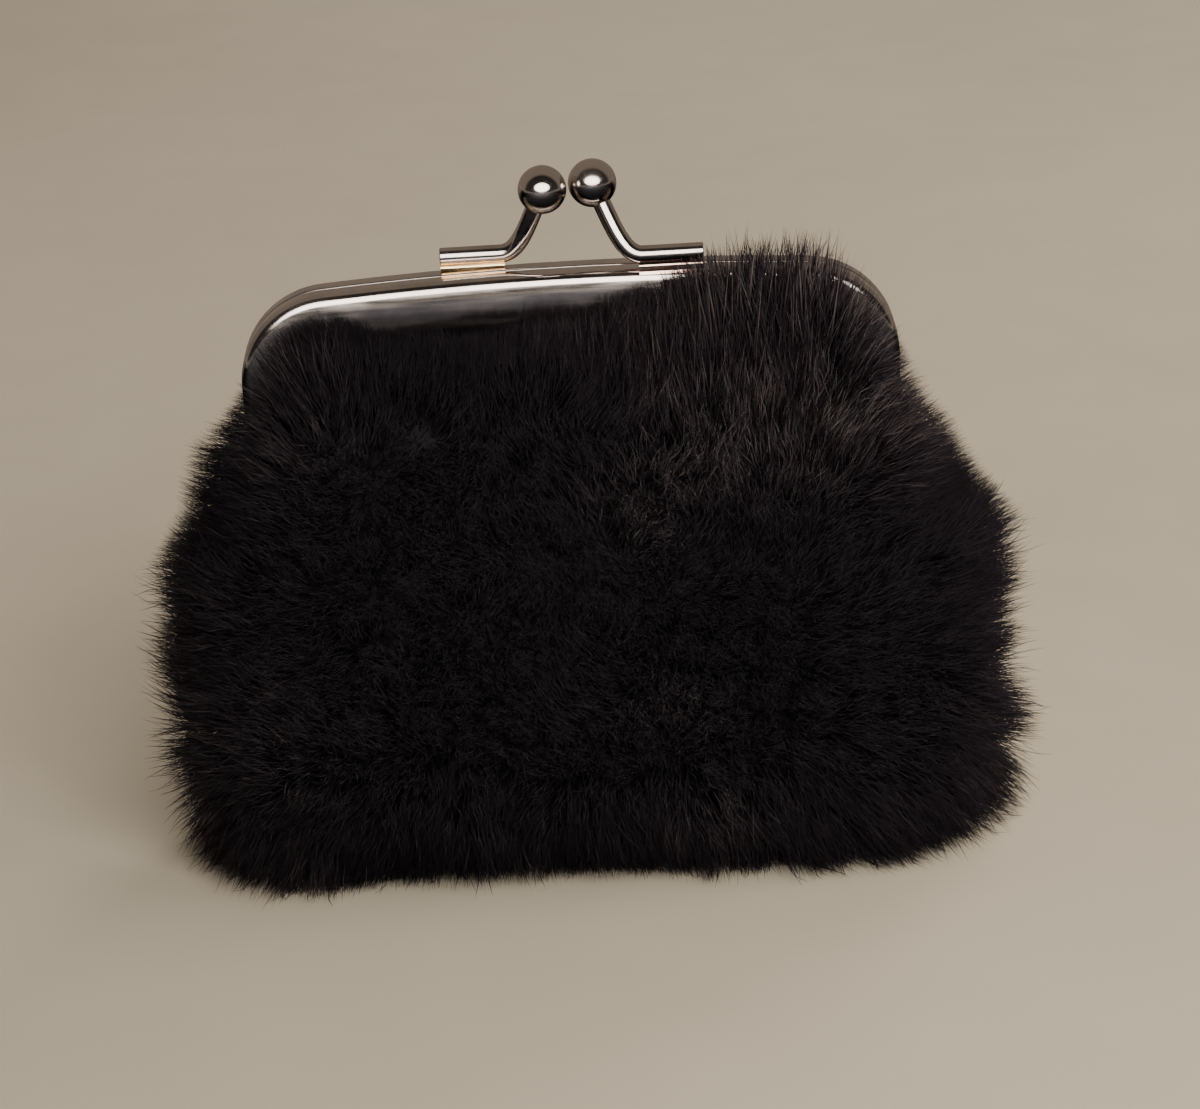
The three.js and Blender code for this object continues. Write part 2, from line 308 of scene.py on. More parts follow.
for name, centre, width, length, tilt, fade, glow in CARDS:
    sheet = bmesh.new()
    bmesh.ops.create_grid(sheet, x_segments=1, y_segments=1, size=0.5)
    bmesh.ops.scale(sheet, verts=sheet.verts, vec=(width, length, 1))
    place = Matrix.Translation(centre) @ Matrix.Rotation(tilt, 4, "X")
    bmesh.ops.transform(sheet, verts=sheet.verts, matrix=place)
    card_mesh = bpy.data.meshes.new(name)
    sheet.to_mesh(card_mesh)
    sheet.free()
    shine = card_glow(centre, (width / 2, length / 2, length / 2), fade, glow)
    card_mesh.materials.append(
        finish_of(name, BLACK, 1.0, glow=shine, Specular_IOR_Level=0, Emission_Strength=1)
    )
    card = bpy.data.objects.new(name, card_mesh)
    card.visible_camera = False
    card.visible_diffuse = False
    card.visible_shadow = False
    bpy.context.scene.collection.objects.link(card)

room = bpy.data.worlds.new("dim_room")
room.use_nodes = True
bpy.context.scene.world = room
sky = Wire(room.node_tree)
_, behind, _ = sky.add("ShaderNodeTexCoord", out="Generated").parts()
reflected = behind.ramp(*ROOM_CHANGE).blend(ROOM_AHEAD, ROOM_BEHIND)
backdrop = sky.add("ShaderNodeLightPath", out="Is Camera Ray").blend(reflected, HORIZON)
room.node_tree.links.new(backdrop.socket, room.node_tree.nodes["Background"].inputs["Color"])

# ----- Frame rails -----
# Two channels of nickel-plated steel strip, rolled to a U with a large radius on the outer face,
# bent to a flat arch with a leg at each end, and glued over the edges of the two panels.
FRAME_HALF = 43 * MM
FRAME_TOP = 81.1 * MM
ARCH_RADIUS = 440 * MM
CORNER_RADIUS = 12 * MM
LEG_END = 46 * MM
PARTING = 0.15 * MM
RAIL_FRONT = 4.05 * MM
RAIL_FACE = 7.5 * MM
METAL = 0.7 * MM
FACE_ROUNDING = 1.5 * MM
FACE_LEAN = 0.5 * MM
FACE_TUCK = 0.15 * MM
FACE_BULGE = 20 * MM
FACE_CROWN = 0.55 * RAIL_FACE
EDGE_ROUNDING = 0.34 * MM
LIP_ROUNDING = 0.3 * MM
HINGE_HEIGHT = 41.5 * MM
EAR = {
    "radius": 2.2 * MM, "thickness": 0.6 * MM, "hole": 1.2 * MM, "root": 2.4 * MM, "bevel": 0.12 * MM,
    "end_turn": math.radians(243), "end_steps": 30, "hole_sides": 32,
}
OUTER_EAR = FRAME_HALF - 0.05 * MM
INNER_EAR = OUTER_EAR - 1.0 * MM
ARCH_STEPS = 60
CORNER_STEPS = 24
ROUNDING_STEP = math.radians(15)
SHARP_EDGE = math.radians(32)
NICKEL_PALE = (0.65, 0.585, 0.54, 1)
NICKEL_DULL = (0.50, 0.445, 0.41, 1)


def rounded(corners):
    """A closed outline: each corner (across, up, radius) becomes an arc of at least four steps."""
    outline = []
    for index, (x, y, radius) in enumerate(corners):
        corner = Vector((x, y))
        before = (Vector(corners[index - 1][:2]) - corner).normalized()
        after = (Vector(corners[(index + 1) % len(corners)][:2]) - corner).normalized()
        opening = before.angle(after)
        if radius == 0:
            outline.append(corner)
            continue
        centre = corner + (before + after).normalized() * radius / math.sin(opening / 2)
        reach = radius / math.tan(opening / 2)
        start = corner + before * reach - centre
        turn = (corner + after * reach - centre).angle_signed(start)
        steps = max(4, math.ceil(abs(turn) / ROUNDING_STEP))
        for i in range(steps + 1):
            angle = turn * i / steps
            outline.append(centre + Matrix.Rotation(angle, 2) @ start)
    return outline


def circle(radius, sides):
    angles = [2 * math.pi * i / sides for i in range(sides)]
    return [(radius * math.cos(a), radius * math.sin(a)) for a in angles]


def rail_path():
    """The outer edge of a rail, from the left leg's end over the top to the right leg's."""
    shoulder = FRAME_HALF - CORNER_RADIUS
    reach = ARCH_RADIUS - CORNER_RADIUS
    arch_centre = FRAME_TOP - ARCH_RADIUS
    tilt = math.asin(shoulder / reach)
    corner_height = arch_centre + reach * math.cos(tilt)
    arcs = [
        # centre across, centre up, radius, angle from upright at its start and end, steps
        (-shoulder, corner_height, CORNER_RADIUS, -math.pi / 2, -tilt, CORNER_STEPS),
        (0, arch_centre, ARCH_RADIUS, -tilt, tilt, ARCH_STEPS),
        (shoulder, corner_height, CORNER_RADIUS, tilt, math.pi / 2, CORNER_STEPS),
    ]
    points = [(-FRAME_HALF, LEG_END)]
    for x, z, radius, start, end, steps in arcs:
        for i in range(steps + (x > 0)):
            angle = start + (end - start) * i / steps
            points.append((x + radius * math.sin(angle), z + radius * math.cos(angle)))
    points.append((FRAME_HALF, LEG_END))
    return [Vector((x, 0, z)) for x, z in points]


def drawn_line(name, points, closed=False, radii=None):
    """A mesh of edges alone, which a tree turns into a curve."""
    mesh = bpy.data.meshes.new(name)
    count = len(points)
    edges = [(i, (i + 1) % count) for i in range(count if closed else count - 1)]
    mesh.from_pydata([Vector(p).to_3d() for p in points], edges, [])
    width = mesh.attributes.new("girth", "FLOAT", "POINT")
    width.data.foreach_set("value", radii or [1.0] * count)
    line = bpy.data.objects.new(name, mesh)
    bpy.context.scene.collection.objects.link(line)
    return line


def new_tree(name, inputs):
    """A geometry tree with named inputs. Returns it with a wire for each input."""
    tree = bpy.data.node_groups.new(name, "GeometryNodeTree")
    tree.interface.new_socket("Geometry", in_out="INPUT", socket_type="NodeSocketGeometry")
    tree.interface.new_socket("Geometry", in_out="OUTPUT", socket_type="NodeSocketGeometry")
    for label, kind in inputs:
        tree.interface.new_socket(label, in_out="INPUT", socket_type="NodeSocket" + kind)
    source = tree.nodes.new("NodeGroupInput")
    return tree, {s.name: Wire(tree, s) for s in source.outputs if s.name}


def close_tree(geometry, material):
    """Ends a tree: instances made real, the material set, and the way out."""
    real = geometry.add("GeometryNodeRealizeInstances", {"Geometry": geometry})
    done = real.add("GeometryNodeSetMaterial", {"Geometry": real, "Material": material})
    way_out = geometry.tree.nodes.new("NodeGroupOutput")
    geometry.tree.links.new(done.socket, way_out.inputs[0])


def clear_working(mesh):
    """Removes the attributes that only the making of a piece needs."""
    for name in ("girth", "tone", "root", "tip", "normal", "curl", "shape", "id"):
        if name in mesh.attributes:
            mesh.attributes.remove(mesh.attributes[name])


def joined(name, meshes):
    """One piece of several meshes that share a material, without their working attributes."""
    whole = bmesh.new()
    for mesh in meshes:
        whole.from_mesh(mesh)
    joint = meshes[0].copy()
    whole.to_mesh(joint)
    whole.free()
    clear_working(joint)
    piece = bpy.data.objects.new(name, joint)
    bpy.context.scene.collection.objects.link(piece)
    return piece


def run_tree(tree, source, **values):
    """The plain mesh that a tree makes of a source object."""
    modifier = source.modifiers.new(tree.name, "NODES")
    modifier.node_group = tree
    for item in tree.interface.items_tree:
        key = item.name.replace(" ", "_").lower()
        if item.in_out == "INPUT" and key in values:
            modifier[item.identifier] = values[key]
    graph = bpy.context.evaluated_depsgraph_get()
    mesh = bpy.data.meshes.new_from_object(source.evaluated_get(graph), depsgraph=graph)
    source.modifiers.remove(modifier)
    return mesh


def sweep_tree():
    """A section drawn along a line that lies in a plane whose normal is given."""
    tree, given = new_tree(
        "sweep", [("Section", "Object"), ("Normal", "Vector"), ("Material", "Material")]
    )
    line = given["Geometry"]
    girth = line.add("GeometryNodeInputNamedAttribute", {"Name": "girth"}, data_type="FLOAT")
    path = line.add("GeometryNodeMeshToCurve", {"Mesh": line})
    path = line.add(
        "GeometryNodeSetCurveNormal", {"Curve": path, "Normal": given["Normal"]}, mode="FREE"
    )
    section = line.add("GeometryNodeObjectInfo", {"Object": given["Section"]}, out="Geometry")
    section = line.add("GeometryNodeMeshToCurve", {"Mesh": section})
    swept = line.add(
        "GeometryNodeCurveToMesh",
        {"Curve": path, "Profile Curve": section, "Scale": girth, "Fill Caps": True},
    )
    close_tree(swept, given["Material"])
    return tree


sweep = sweep_tree()


def swept(name, path, section, normal=(0, 1, 0), radii=None):
    """A closed mesh of a section swept along a path."""
    line = drawn_line(name + "_path", path, radii=radii)
    outline = drawn_line(name + "_section", section, closed=True)
    mesh = run_tree(sweep, line, section=outline, normal=normal)
    bpy.data.objects.remove(line)
    bpy.data.objects.remove(outline)
    return mesh


def piece_of(name, meshes, material, turn=0):
    """One piece from several closed meshes, faces outwards, with a turn about the upright axis."""
    whole = bmesh.new()
    for mesh in meshes:
        whole.from_mesh(mesh)
    bmesh.ops.remove_doubles(whole, verts=whole.verts, dist=0.001 * MM)
    bmesh.ops.recalc_face_normals(whole, faces=whole.faces)
    bmesh.ops.rotate(whole, verts=whole.verts, matrix=Matrix.Rotation(turn, 3, "Z"))
    mesh = bpy.data.meshes.new(name)
    whole.to_mesh(mesh)
    whole.free()
    clear_working(mesh)
    mesh.materials.clear()
    mesh.materials.append(material)
    mesh.shade_smooth()
    mesh.set_sharp_from_angle(angle=SHARP_EDGE)
    piece = bpy.data.objects.new(name, mesh)
    bpy.context.scene.collection.objects.link(piece)
    return piece


def flat_plate(outline, hole, thickness, bevel):
    """A plate with a round hole, its edges broken, lying in the plane of across and up."""
    drawing = bpy.data.curves.new("plate", "CURVE")
    drawing.dimensions = "2D"
    drawing.fill_mode = "BOTH"
    drawing.extrude = thickness / 2 - bevel
    drawing.bevel_depth = bevel
    drawing.offset = -bevel
    for points in (outline, hole):
        spline = drawing.splines.new("POLY")
        spline.points.add(len(points) - 1)
        spline.use_cyclic_u = True
        for point, place in zip(spline.points, points):
            point.co = (*place, 0, 1)
    holder = bpy.data.objects.new("plate", drawing)
    mesh = bpy.data.meshes.new_from_object(holder)
    bpy.data.objects.remove(holder)
    return mesh


def hinge_ear(face):
    """The flat ear below a leg: its root is in the channel, and its end is round."""
    across_near, across_far = -PARTING - METAL / 2, -RAIL_FRONT + METAL / 2
    top = LEG_END + EAR["root"]
    radius = EAR["radius"]
    angles = [math.pi + EAR["end_turn"] * i / EAR["end_steps"] for i in range(EAR["end_steps"] + 1)]
    round_end = [(radius * math.cos(a), HINGE_HEIGHT + radius * math.sin(a)) for a in angles]
    outline = [(across_near, top), (across_far, top), (across_far, LEG_END - METAL), *round_end]
    outline.append((across_near, LEG_END - METAL))
    hole = [(x, HINGE_HEIGHT - y) for x, y in circle(EAR["hole"], EAR["hole_sides"])]
    plate = flat_plate(outline, hole, EAR["thickness"], EAR["bevel"])
    upright = Matrix(((0, 0, 1, 0), (1, 0, 0, 0), (0, 1, 0, 0), (0, 0, 0, 1)))
    plate.transform(Matrix.Translation((face - EAR["thickness"] / 2, 0, 0)) @ upright)
    return plate


def nickel_colour(start):
    return place_on_object(start).noise(140, 3).ramp(0.42, 0.72).blend(NICKEL_PALE, NICKEL_DULL)


def nickel_roughness(start):
    place = place_on_object(start)
    stroke = start.add("ShaderNodeMapping", {"Vector": place, "Scale": (60, 900, 900)})
    return stroke.noise(1.5, 3).ramp(0.3, 0.75, 0.09, 0.2) + place.noise(90, 2).ramp(0.5, 0.8, 0, 0.12)


def nickel_scratches(start):
    place = place_on_object(start)
    stroke = start.add("ShaderNodeMapping", {"Vector": place, "Scale": (90, 1400, 1400)})
    return (stroke.noise(1.2, 4) + place.noise(420, 2) * 1.5).bump(0.06, 0.02 * MM)


nickel = finish_of("polished_nickel", nickel_colour, nickel_roughness, nickel_scratches, Metallic=1)

rail_section = rounded([
    (-PARTING, 0, EDGE_ROUNDING),
    (-PARTING, -RAIL_FACE, LIP_ROUNDING),
    (-PARTING - METAL, -RAIL_FACE, LIP_ROUNDING),
    (-PARTING - METAL, -METAL, EDGE_ROUNDING),
    (-RAIL_FRONT + METAL, -METAL, FACE_ROUNDING - METAL),
    (-RAIL_FRONT + METAL, -RAIL_FACE, LIP_ROUNDING),
    (-RAIL_FRONT + FACE_TUCK, -RAIL_FACE, LIP_ROUNDING),
    (-RAIL_FRONT, -FACE_CROWN, FACE_BULGE),
    (-RAIL_FRONT + FACE_LEAN, 0, FACE_ROUNDING),
])
for name, ear_face, turn in (("front", OUTER_EAR, 0), ("rear", INNER_EAR, math.pi)):
    channel = swept(name, rail_path(), rail_section)
    ears = [hinge_ear(ear_face), hinge_ear(EAR["thickness"] - ear_face)]
    rail = piece_of(name + "_rail", [channel, *ears], nickel, turn)
    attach(rail, "root")
    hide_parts(name + "_frame")

# ----- Lock arms -----
# A kiss lock: a steel rod brazed on a saddle on each rail rises in an S-bend to a turned ball.
# The balls stand a little past each other, and snap over when they are pressed.
LOCK_SHIFT = 0.9 * MM
ROD_RADIUS = 1.2 * MM
ROD_CHAMFER = 0.12 * MM
ROD_HEIGHT = 82.7 * MM
ROD_MIDDLE = -2.1 * MM
FOOT_INNER = 9.3 * MM
FOOT_OUTER = 17.1 * MM
BEND = {"at_foot": 2.6 * MM, "at_ball": 2.4 * MM, "under_ball": 5.5 * MM, "steps": 32}
ROD_SIDES = 28
BALL_RADIUS = 3.15 * MM
BALL_CENTRE = Vector((3.25, 0.95, 91.8)) * MM
BALL_SEGMENTS = 56
BALL_RINGS = 36
SADDLE = [
    # The brazed saddle's section from the rail up to the rod: half width, height, rounding
    (1.45 * MM, FRAME_TOP - 0.7 * MM, 0),
    (1.35 * MM, FRAME_TOP - 0.35 * MM, 0.1 * MM),
    (0.72 * MM, FRAME_TOP + 0.35 * MM, 0.4 * MM),
    (0.95 * MM, ROD_HEIGHT - 0.35 * MM, 0.1 * MM),
]
SADDLE_INNER = FOOT_INNER - 0.6 * MM
SADDLE_OUTER = FOOT_OUTER - 0.05 * MM
# Up to a wavy line a little above the rail the seat is tinted warm, gold on the rear arm and pink on
# the front: partly the colour of the braze, partly a painted reflection of warm surroundings.
WARM_TINT_UP_TO = (FRAME_TOP + 1.1 * MM, FRAME_TOP + 1.9 * MM)
WARM_TINT_WAVES = 1.2 * MM
BRASS_AND_WARM_REFLECTION = (0.95, 0.68, 0.36, 1)
COPPER_AND_WARM_REFLECTION = (0.80, 0.56, 0.46, 1)


def rod_path(shift):
    """The straight foot from its outer end, then the S-bend into the ball, with its radii."""
    foot_end = Vector((FOOT_OUTER, ROD_MIDDLE, ROD_HEIGHT))
    bend_start = Vector((FOOT_INNER, ROD_MIDDLE, ROD_HEIGHT))
    pulls = [
        bend_start,
        bend_start - Vector((BEND["at_foot"], 0, 0)),
        Vector((BALL_CENTRE.x + BEND["at_ball"], ROD_MIDDLE / 3, BALL_CENTRE.z - BEND["under_ball"])),
        BALL_CENTRE,
    ]
    points = [foot_end, foot_end - Vector((ROD_CHAMFER, 0, 0)), foot_end.lerp(bend_start, 0.5)]
    for i in range(BEND["steps"] + 1):
        t = i / BEND["steps"]
        weights = ((1 - t) ** 3, 3 * t * (1 - t) ** 2, 3 * t * t * (1 - t), t**3)
        points.append(sum((w * p for w, p in zip(weights, pulls)), Vector()))
    radii = [1 - ROD_CHAMFER / ROD_RADIUS] + [1.0] * (len(points) - 1)
    return [p + Vector((shift, 0, 0)) for p in points], radii


def ball_mesh(centre):
    ball = bmesh.new()
    bmesh.ops.create_uvsphere(
        ball, u_segments=BALL_SEGMENTS, v_segments=BALL_RINGS, radius=BALL_RADIUS,
        matrix=Matrix.Translation(centre),
    )
    mesh = bpy.data.meshes.new("ball")
    ball.to_mesh(mesh)
    ball.free()
    return mesh


def saddle_mesh(name, shift):
    """The brazed seat under the foot, waisted between the rail and the rod."""
    section = rounded(
        [(ROD_MIDDLE + half, up, radius) for half, up, radius in SADDLE]
        + [(ROD_MIDDLE - half, up, radius) for half, up, radius in reversed(SADDLE)]
    )
    line = [Vector((x + shift, 0, 0)) for x in (SADDLE_INNER, SADDLE_OUTER)]
    return swept(name, line, section)


def arm_colour(tint):
    def colour(start):
        place = place_on_object(start)
        # The seat's warm tint is partly braze colour and partly a painted reflection of warm
        # surroundings.
        brazed = place.parts()[2] + place.noise(500, 2) * WARM_TINT_WAVES
        seat = brazed.ramp(*WARM_TINT_UP_TO, 1, 0)
        return seat.blend(nickel_colour(start), tint)

    return colour


for name, shift, turn, tint in (
    ("front", LOCK_SHIFT, 0, COPPER_AND_WARM_REFLECTION),
    ("rear", -LOCK_SHIFT, math.pi, BRASS_AND_WARM_REFLECTION),
):
    path, radii = rod_path(shift)
    rod = swept(name + "_rod", path, circle(ROD_RADIUS, ROD_SIDES), radii=radii)
    ball = ball_mesh(BALL_CENTRE + Vector((shift, 0, 0)))
    plating = finish_of(
        name + "_lock_plating", arm_colour(tint), nickel_roughness, nickel_scratches, Metallic=1
    )
    arm = piece_of(name + "_lock_arm", [rod, ball, saddle_mesh(name + "_saddle", shift)], plating, turn)
    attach(arm, "root")
    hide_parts(name + "_frame")

# ----- Hinge rivets -----
# A steel rivet through each pair of ears, headed over a flat inner head, is the frame's hinge.
RIVET_SHANK = 0.9 * MM
RIVET_HEAD = 1.8 * MM
HEAD_HEIGHT = 0.7 * MM
RIVET_GAP = 0.3 * MM
RIVET_INNER = INNER_EAR - EAR["thickness"] - RIVET_GAP
RIVET_OUTER = OUTER_EAR + RIVET_GAP
RIVET_SIDES = 32
DOME_STEPS = 10
# Shares of the head: the flat head's radius at its face, where its edge starts, and the dome's tip.
FLAT_FACE = 0.88
FLAT_EDGE = 0.85
DOME_TIP = 0.03
STEEL_DULL = (0.50, 0.49, 0.47, 1)
STEEL_PALE = (0.68, 0.66, 0.63, 1)


def steel_colour(start):
    return place_on_object(start).noise(300, 3).ramp(0.3, 0.7).blend(STEEL_DULL, STEEL_PALE)


def steel_roughness(start):
    return place_on_object(start).noise(900, 2).ramp(0.3, 0.7, 0.24, 0.4)


steel = finish_of("brushed_steel", steel_colour, steel_roughness, nickel_scratches, Metallic=1)
flat_head = [
    (RIVET_INNER - HEAD_HEIGHT, FLAT_FACE),
    (RIVET_INNER - HEAD_HEIGHT * FLAT_EDGE, 1.0),
    (RIVET_INNER, 1.0),
]
shank = [(RIVET_INNER, RIVET_SHANK / RIVET_HEAD), (RIVET_OUTER, RIVET_SHANK / RIVET_HEAD)]
dome = [
    (RIVET_OUTER + HEAD_HEIGHT * math.sin(a), max(math.cos(a), DOME_TIP))
    for a in [math.pi / 2 * i / DOME_STEPS for i in range(DOME_STEPS + 1)]
]
for side, turn in (("right", 0), ("left", math.pi)):
    turned = flat_head + shank + dome
    line = [Vector((x, 0, HINGE_HEIGHT)) for x, _ in turned]
    mesh = swept(side + "_rivet", line, circle(RIVET_HEAD, RIVET_SIDES), radii=[r for _, r in turned])
    rivet = piece_of(side + "_hinge_rivet", [mesh], steel, turn)
    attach(rivet, "root")
    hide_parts("hinge_rivet_" + side)

# ----- Panels -----
# Two panels of deep-pile cloth, sewn to each other below the hinges. Above them each runs up in
# front of its legs and into its channel, where it is glued. The knitted ground is black.
CLOTH_THICKNESS = 1.2 * MM
CHANNEL_MIDDLE = 2.1 * MM
GLUED_TOP = 1.0 * MM
GLUED_BOTTOM = RAIL_FACE - 0.2 * MM
PANEL_RINGS = 2
PANEL_SIDES = 60
SEAM = 0.05
# Outer face of the ground cloth in millimetres, a row for each level: half widths to the left and
# right, depth, how square the outline is, and how far the edge keeps from the parting plane.
GROUND = [
    {"up": 2.6, "left": 42, "right": 43.5, "depth": 7, "square": 3.2, "edge": SEAM},
    {"up": 3.6, "left": 45, "right": 47.2, "depth": 9.8, "square": 2.9, "edge": SEAM},
    {"up": 7, "left": 47.4, "right": 48.6, "depth": 12, "square": 2.6, "edge": SEAM},
    {"up": 12, "left": 47.8, "right": 49.4, "depth": 13.2, "square": 2.4, "edge": SEAM},
    {"up": 19, "left": 49.9, "right": 49.4, "depth": 13.6, "square": 2.4, "edge": SEAM},
    {"up": 26, "left": 48.8, "right": 47.8, "depth": 13.5, "square": 2.4, "edge": SEAM},
    {"up": 33, "left": 47.8, "right": 48.6, "depth": 13.1, "square": 2.4, "edge": SEAM},
    {"up": 39, "left": 47.8, "right": 49.8, "depth": 12.4, "square": 2.4, "edge": SEAM},
    {"up": 43, "left": 47.2, "right": 48.8, "depth": 11.7, "square": 2.4, "edge": 0.4},
    {"up": 45, "left": 46.7, "right": 47.6, "depth": 11.3, "square": 2.4, "edge": 3},
    {"up": 48, "left": 45.7, "right": 46.4, "depth": 10.6, "square": 2.5, "edge": 4.4},
    {"up": 53, "left": 43.6, "right": 43.8, "depth": 9.6, "square": 2.8, "edge": 4.4},
    {"up": 58, "left": 41.6, "right": 41, "depth": 8.8, "square": 3, "edge": 4.4},
    {"up": 63, "left": 39.4, "right": 39.4, "depth": 8, "square": 3.2, "edge": 4.4},
    {"up": 67, "left": 37, "right": 37.8, "depth": 7, "square": 3.4, "edge": 4.4},
    {"up": 70, "left": 35.2, "right": 36, "depth": 5.8, "square": 3.6, "edge": 4.4},
    {"up": 72.2, "left": 33.9, "right": 34, "depth": 4.3, "square": 4, "edge": 4},
    {"up": 73.4, "left": 33, "right": 33.2, "depth": 3.1, "square": 4, "edge": 3},
    {"up": 78.6, "left": 31, "right": 31, "depth": 2.9, "square": 4, "edge": 2.8},
]
CLOTH_BLACK = (0.006, 0.005, 0.006, 1)
CLOTH_WORN = (0.016, 0.013, 0.014, 1)


def between(rows, place):
    """The rows read at a place between them, on a smooth curve."""
    index = min(int(place), len(rows) - 2)
    t = place - index
    around = [rows[max(0, min(len(rows) - 1, index + k))] for k in (-1, 0, 1, 2)]
    read = {}
    for name in rows[0]:
        a, b, c, d = (row[name] for row in around)
        read[name] = b + 0.5 * t * (c - a + t * (2 * a - 5 * b + 4 * c - d + t * (3 * (b - c) + d - a)))
    return read


def ground_point(row, angle, side):
    """A point of one panel's outline: angle 0 is at the right edge, and half a turn at the left."""
    across = math.copysign(abs(math.cos(angle)) ** (2 / row["square"]), math.cos(angle))
    out = abs(math.sin(angle)) ** (2 / row["square"])
    half = row["right"] if across > 0 else row["left"]
    return Vector((across * half, side * max(out * row["depth"], row["edge"]), row["up"])) * MM


def ground_mesh(name, side):
    """One panel's outer face, from the base seam up to its rail. Side is -1 in front."""
    levels = [between(GROUND, i / PANEL_RINGS) for i in range((len(GROUND) - 1) * PANEL_RINGS + 1)]
    points = [
        ground_point(row, math.pi * j / PANEL_SIDES, side)
        for row in levels
        for j in range(PANEL_SIDES + 1)
    ]
    seam = [Vector((p.x, side * SEAM * MM, p.z)) for p in points[:PANEL_SIDES + 1]]
    points = seam + points
    wide = PANEL_SIDES + 1
    faces = []
    for i in range(len(levels)):
        for j in range(PANEL_SIDES):
            corner = i * wide + j
            face = (corner, corner + 1, corner + wide + 1, corner + wide)
            faces.append(face if side > 0 else face[::-1])
    mesh = bpy.data.meshes.new(name)
    mesh.from_pydata(points, [], faces)
    return mesh


def cloth_colour(start):
    return place_on_object(start).noise(700, 3).ramp(0.35, 0.7).blend(CLOTH_BLACK, CLOTH_WORN)


def cloth_roughness(start):
    return place_on_object(start).noise(350).ramp(0.3, 0.7, 0.75, 0.95)


def cloth_knit(start):
    return place_on_object(start).noise(1600, 3).bump(0.6, 0.3 * MM)


ground_cloth = finish_of("black_ground_cloth", cloth_colour, cloth_roughness, cloth_knit)
near_face = -CHANNEL_MIDDLE + CLOTH_THICKNESS / 2
far_face = near_face - CLOTH_THICKNESS
glued_edge = [
    (near_face, -GLUED_TOP),
    (near_face, -GLUED_BOTTOM),
    (far_face, -GLUED_BOTTOM),
    (far_face, -GLUED_TOP),
]
grounds = {}
panels = {}
for name, side in (("front", -1), ("back", 1)):
    outer = ground_mesh(name + "_ground", side)
    grounds[name] = bpy.data.objects.new(name + "_ground", outer)
    bpy.context.scene.collection.objects.link(grounds[name])
    wall = bpy.data.objects.new(name + "_wall", outer.copy())
    bpy.context.scene.collection.objects.link(wall)
    thicken = wall.modifiers.new("thickness", "SOLIDIFY")
    thicken.thickness = CLOTH_THICKNESS
    thicken.offset = -1
    thicken.use_even_offset = True
    graph = bpy.context.evaluated_depsgraph_get()
    cloth = bpy.data.meshes.new_from_object(wall.evaluated_get(graph), depsgraph=graph)
    bpy.data.objects.remove(wall)
    edge = swept(name + "_glued_edge", rail_path(), glued_edge)
    if side > 0:
        edge.transform(Matrix.Rotation(math.pi, 4, "Z"))
    panels[name] = piece_of(name + "_panel", [cloth, edge], ground_cloth)
    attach(panels[name], "root")
    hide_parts("fur_" + name + "_panel")

# ----- Pile -----
# Faux fur: dark guard hairs with brown tips over a denser, shorter underfur, knitted into the
# ground cloth. The hairs cling in tufts, stand out at the sides, are brushed up over the right
# of the front rail, and fall at the base.
# Each panel's pile is in three pieces, from one place across to another. Places and sizes in this
# section are in millimetres.
ZONES = [("left", -90, -20), ("middle", -20, 19), ("right", 19, 90)]
COATS = [
    # hairs in a square metre, length, girth, rings of corners, seed
    {"density": 0.78e6, "length": 11.2, "girth": 0.10, "rings": 3, "seed": 11},
    {"density": 8.3e6, "length": 10.0, "girth": 0.085, "rings": 2, "seed": 57},
]
TUFT_SPACING = 2.8
TUFT_DENSITY = 4e5
TUFT_PULL = (0.1, 0.6)
TUFT_SPREAD = 0.5
PILE_TOP = 72.8
# Shares of a hair's own length or girth, and how far its curl and bow bend it.
HAIR = {
    "length": (0.86, 1.1), "girth": (0.7, 1.3), "spray": 0.26, "bow": 0.84, "curl": 0.4,
    "root_width": 1.15, "taper": 0.6,
}
# The direction that a hair's two sides are worked out from.
SKEW = (0.31, -0.17, 0.87)
# How far hairs keep from the rails, the parting plane and the ground, and how far they pass over
# the parting plane at the seam.
RAIL_CLEARANCE = 4.25
PARTING_CLEARANCE = 0.3
GROUND_CLEARANCE = 0.35
SEAM_OVERLAP = 2
# Where the pile changes, as the places across or up at which the change starts and ends.
MIDDLE = (27, 36)
BY_FRAME = (54, 66)
OVER_BELLY = (42, 50)
LOBE_ACROSS = (12, 19)
LOBE_UP = (62, 70)
BESIDE_LEG = (43.7, 45.7)
LEG_FOOT = (44, 47)
SEAM_SIDE = (49, 51)
SEAM_TOP = (33, 36)
# How strongly the pile is brushed, where 1 is as strong as its stand out of the cloth.
BRUSH = {
    "falls": -0.7, "rises": 0.35, "over_rail": 1.5, "right_half": 0.7, "lobe": 1.6, "shoulder": 0.8,
    "over_edge": -1.1, "waves": 1.3, "wisps": 1.0,
}
# How much longer and thicker the hairs of the lobe are, and how far its strays pass the line.
LOBE = {"longer": 0.5, "thicker": 0.7, "strays": 4}
# The line that the pile is clipped to: its top along the front rail, as places across and up,
# and how far it may stand out to each side, as places up and across.
BROW = [
    (-60, 79), (-36, 79), (-32, 78.6), (-29, 77.8), (-25, 76.0), (-20, 75.0), (-12, 74.6), (-6, 75.6),
    (2, 76.4), (6, 78.8), (13, 80.4), (16, 82.4), (21, 84.2), (30, 84.5), (35, 84.1), (39, 82),
    (43, 78.5), (60, 68),
]
BROW_SPAN = 60
# The line is this much higher for each millimetre that a hair stands out past the rail.
BROW_SLOPE = 0.384
BACK_BROW = 75
REACH = [
    (0, 68), (42, 68), (46, 59.2), (50, 55.8), (54, 53), (58, 50.8), (62, 48.4), (65, 46.2), (68, 44.2),
    (71, 43.9), (100, 43.9),
]
CURVE_SPAN = 100
REACH_LIFT = 2.3
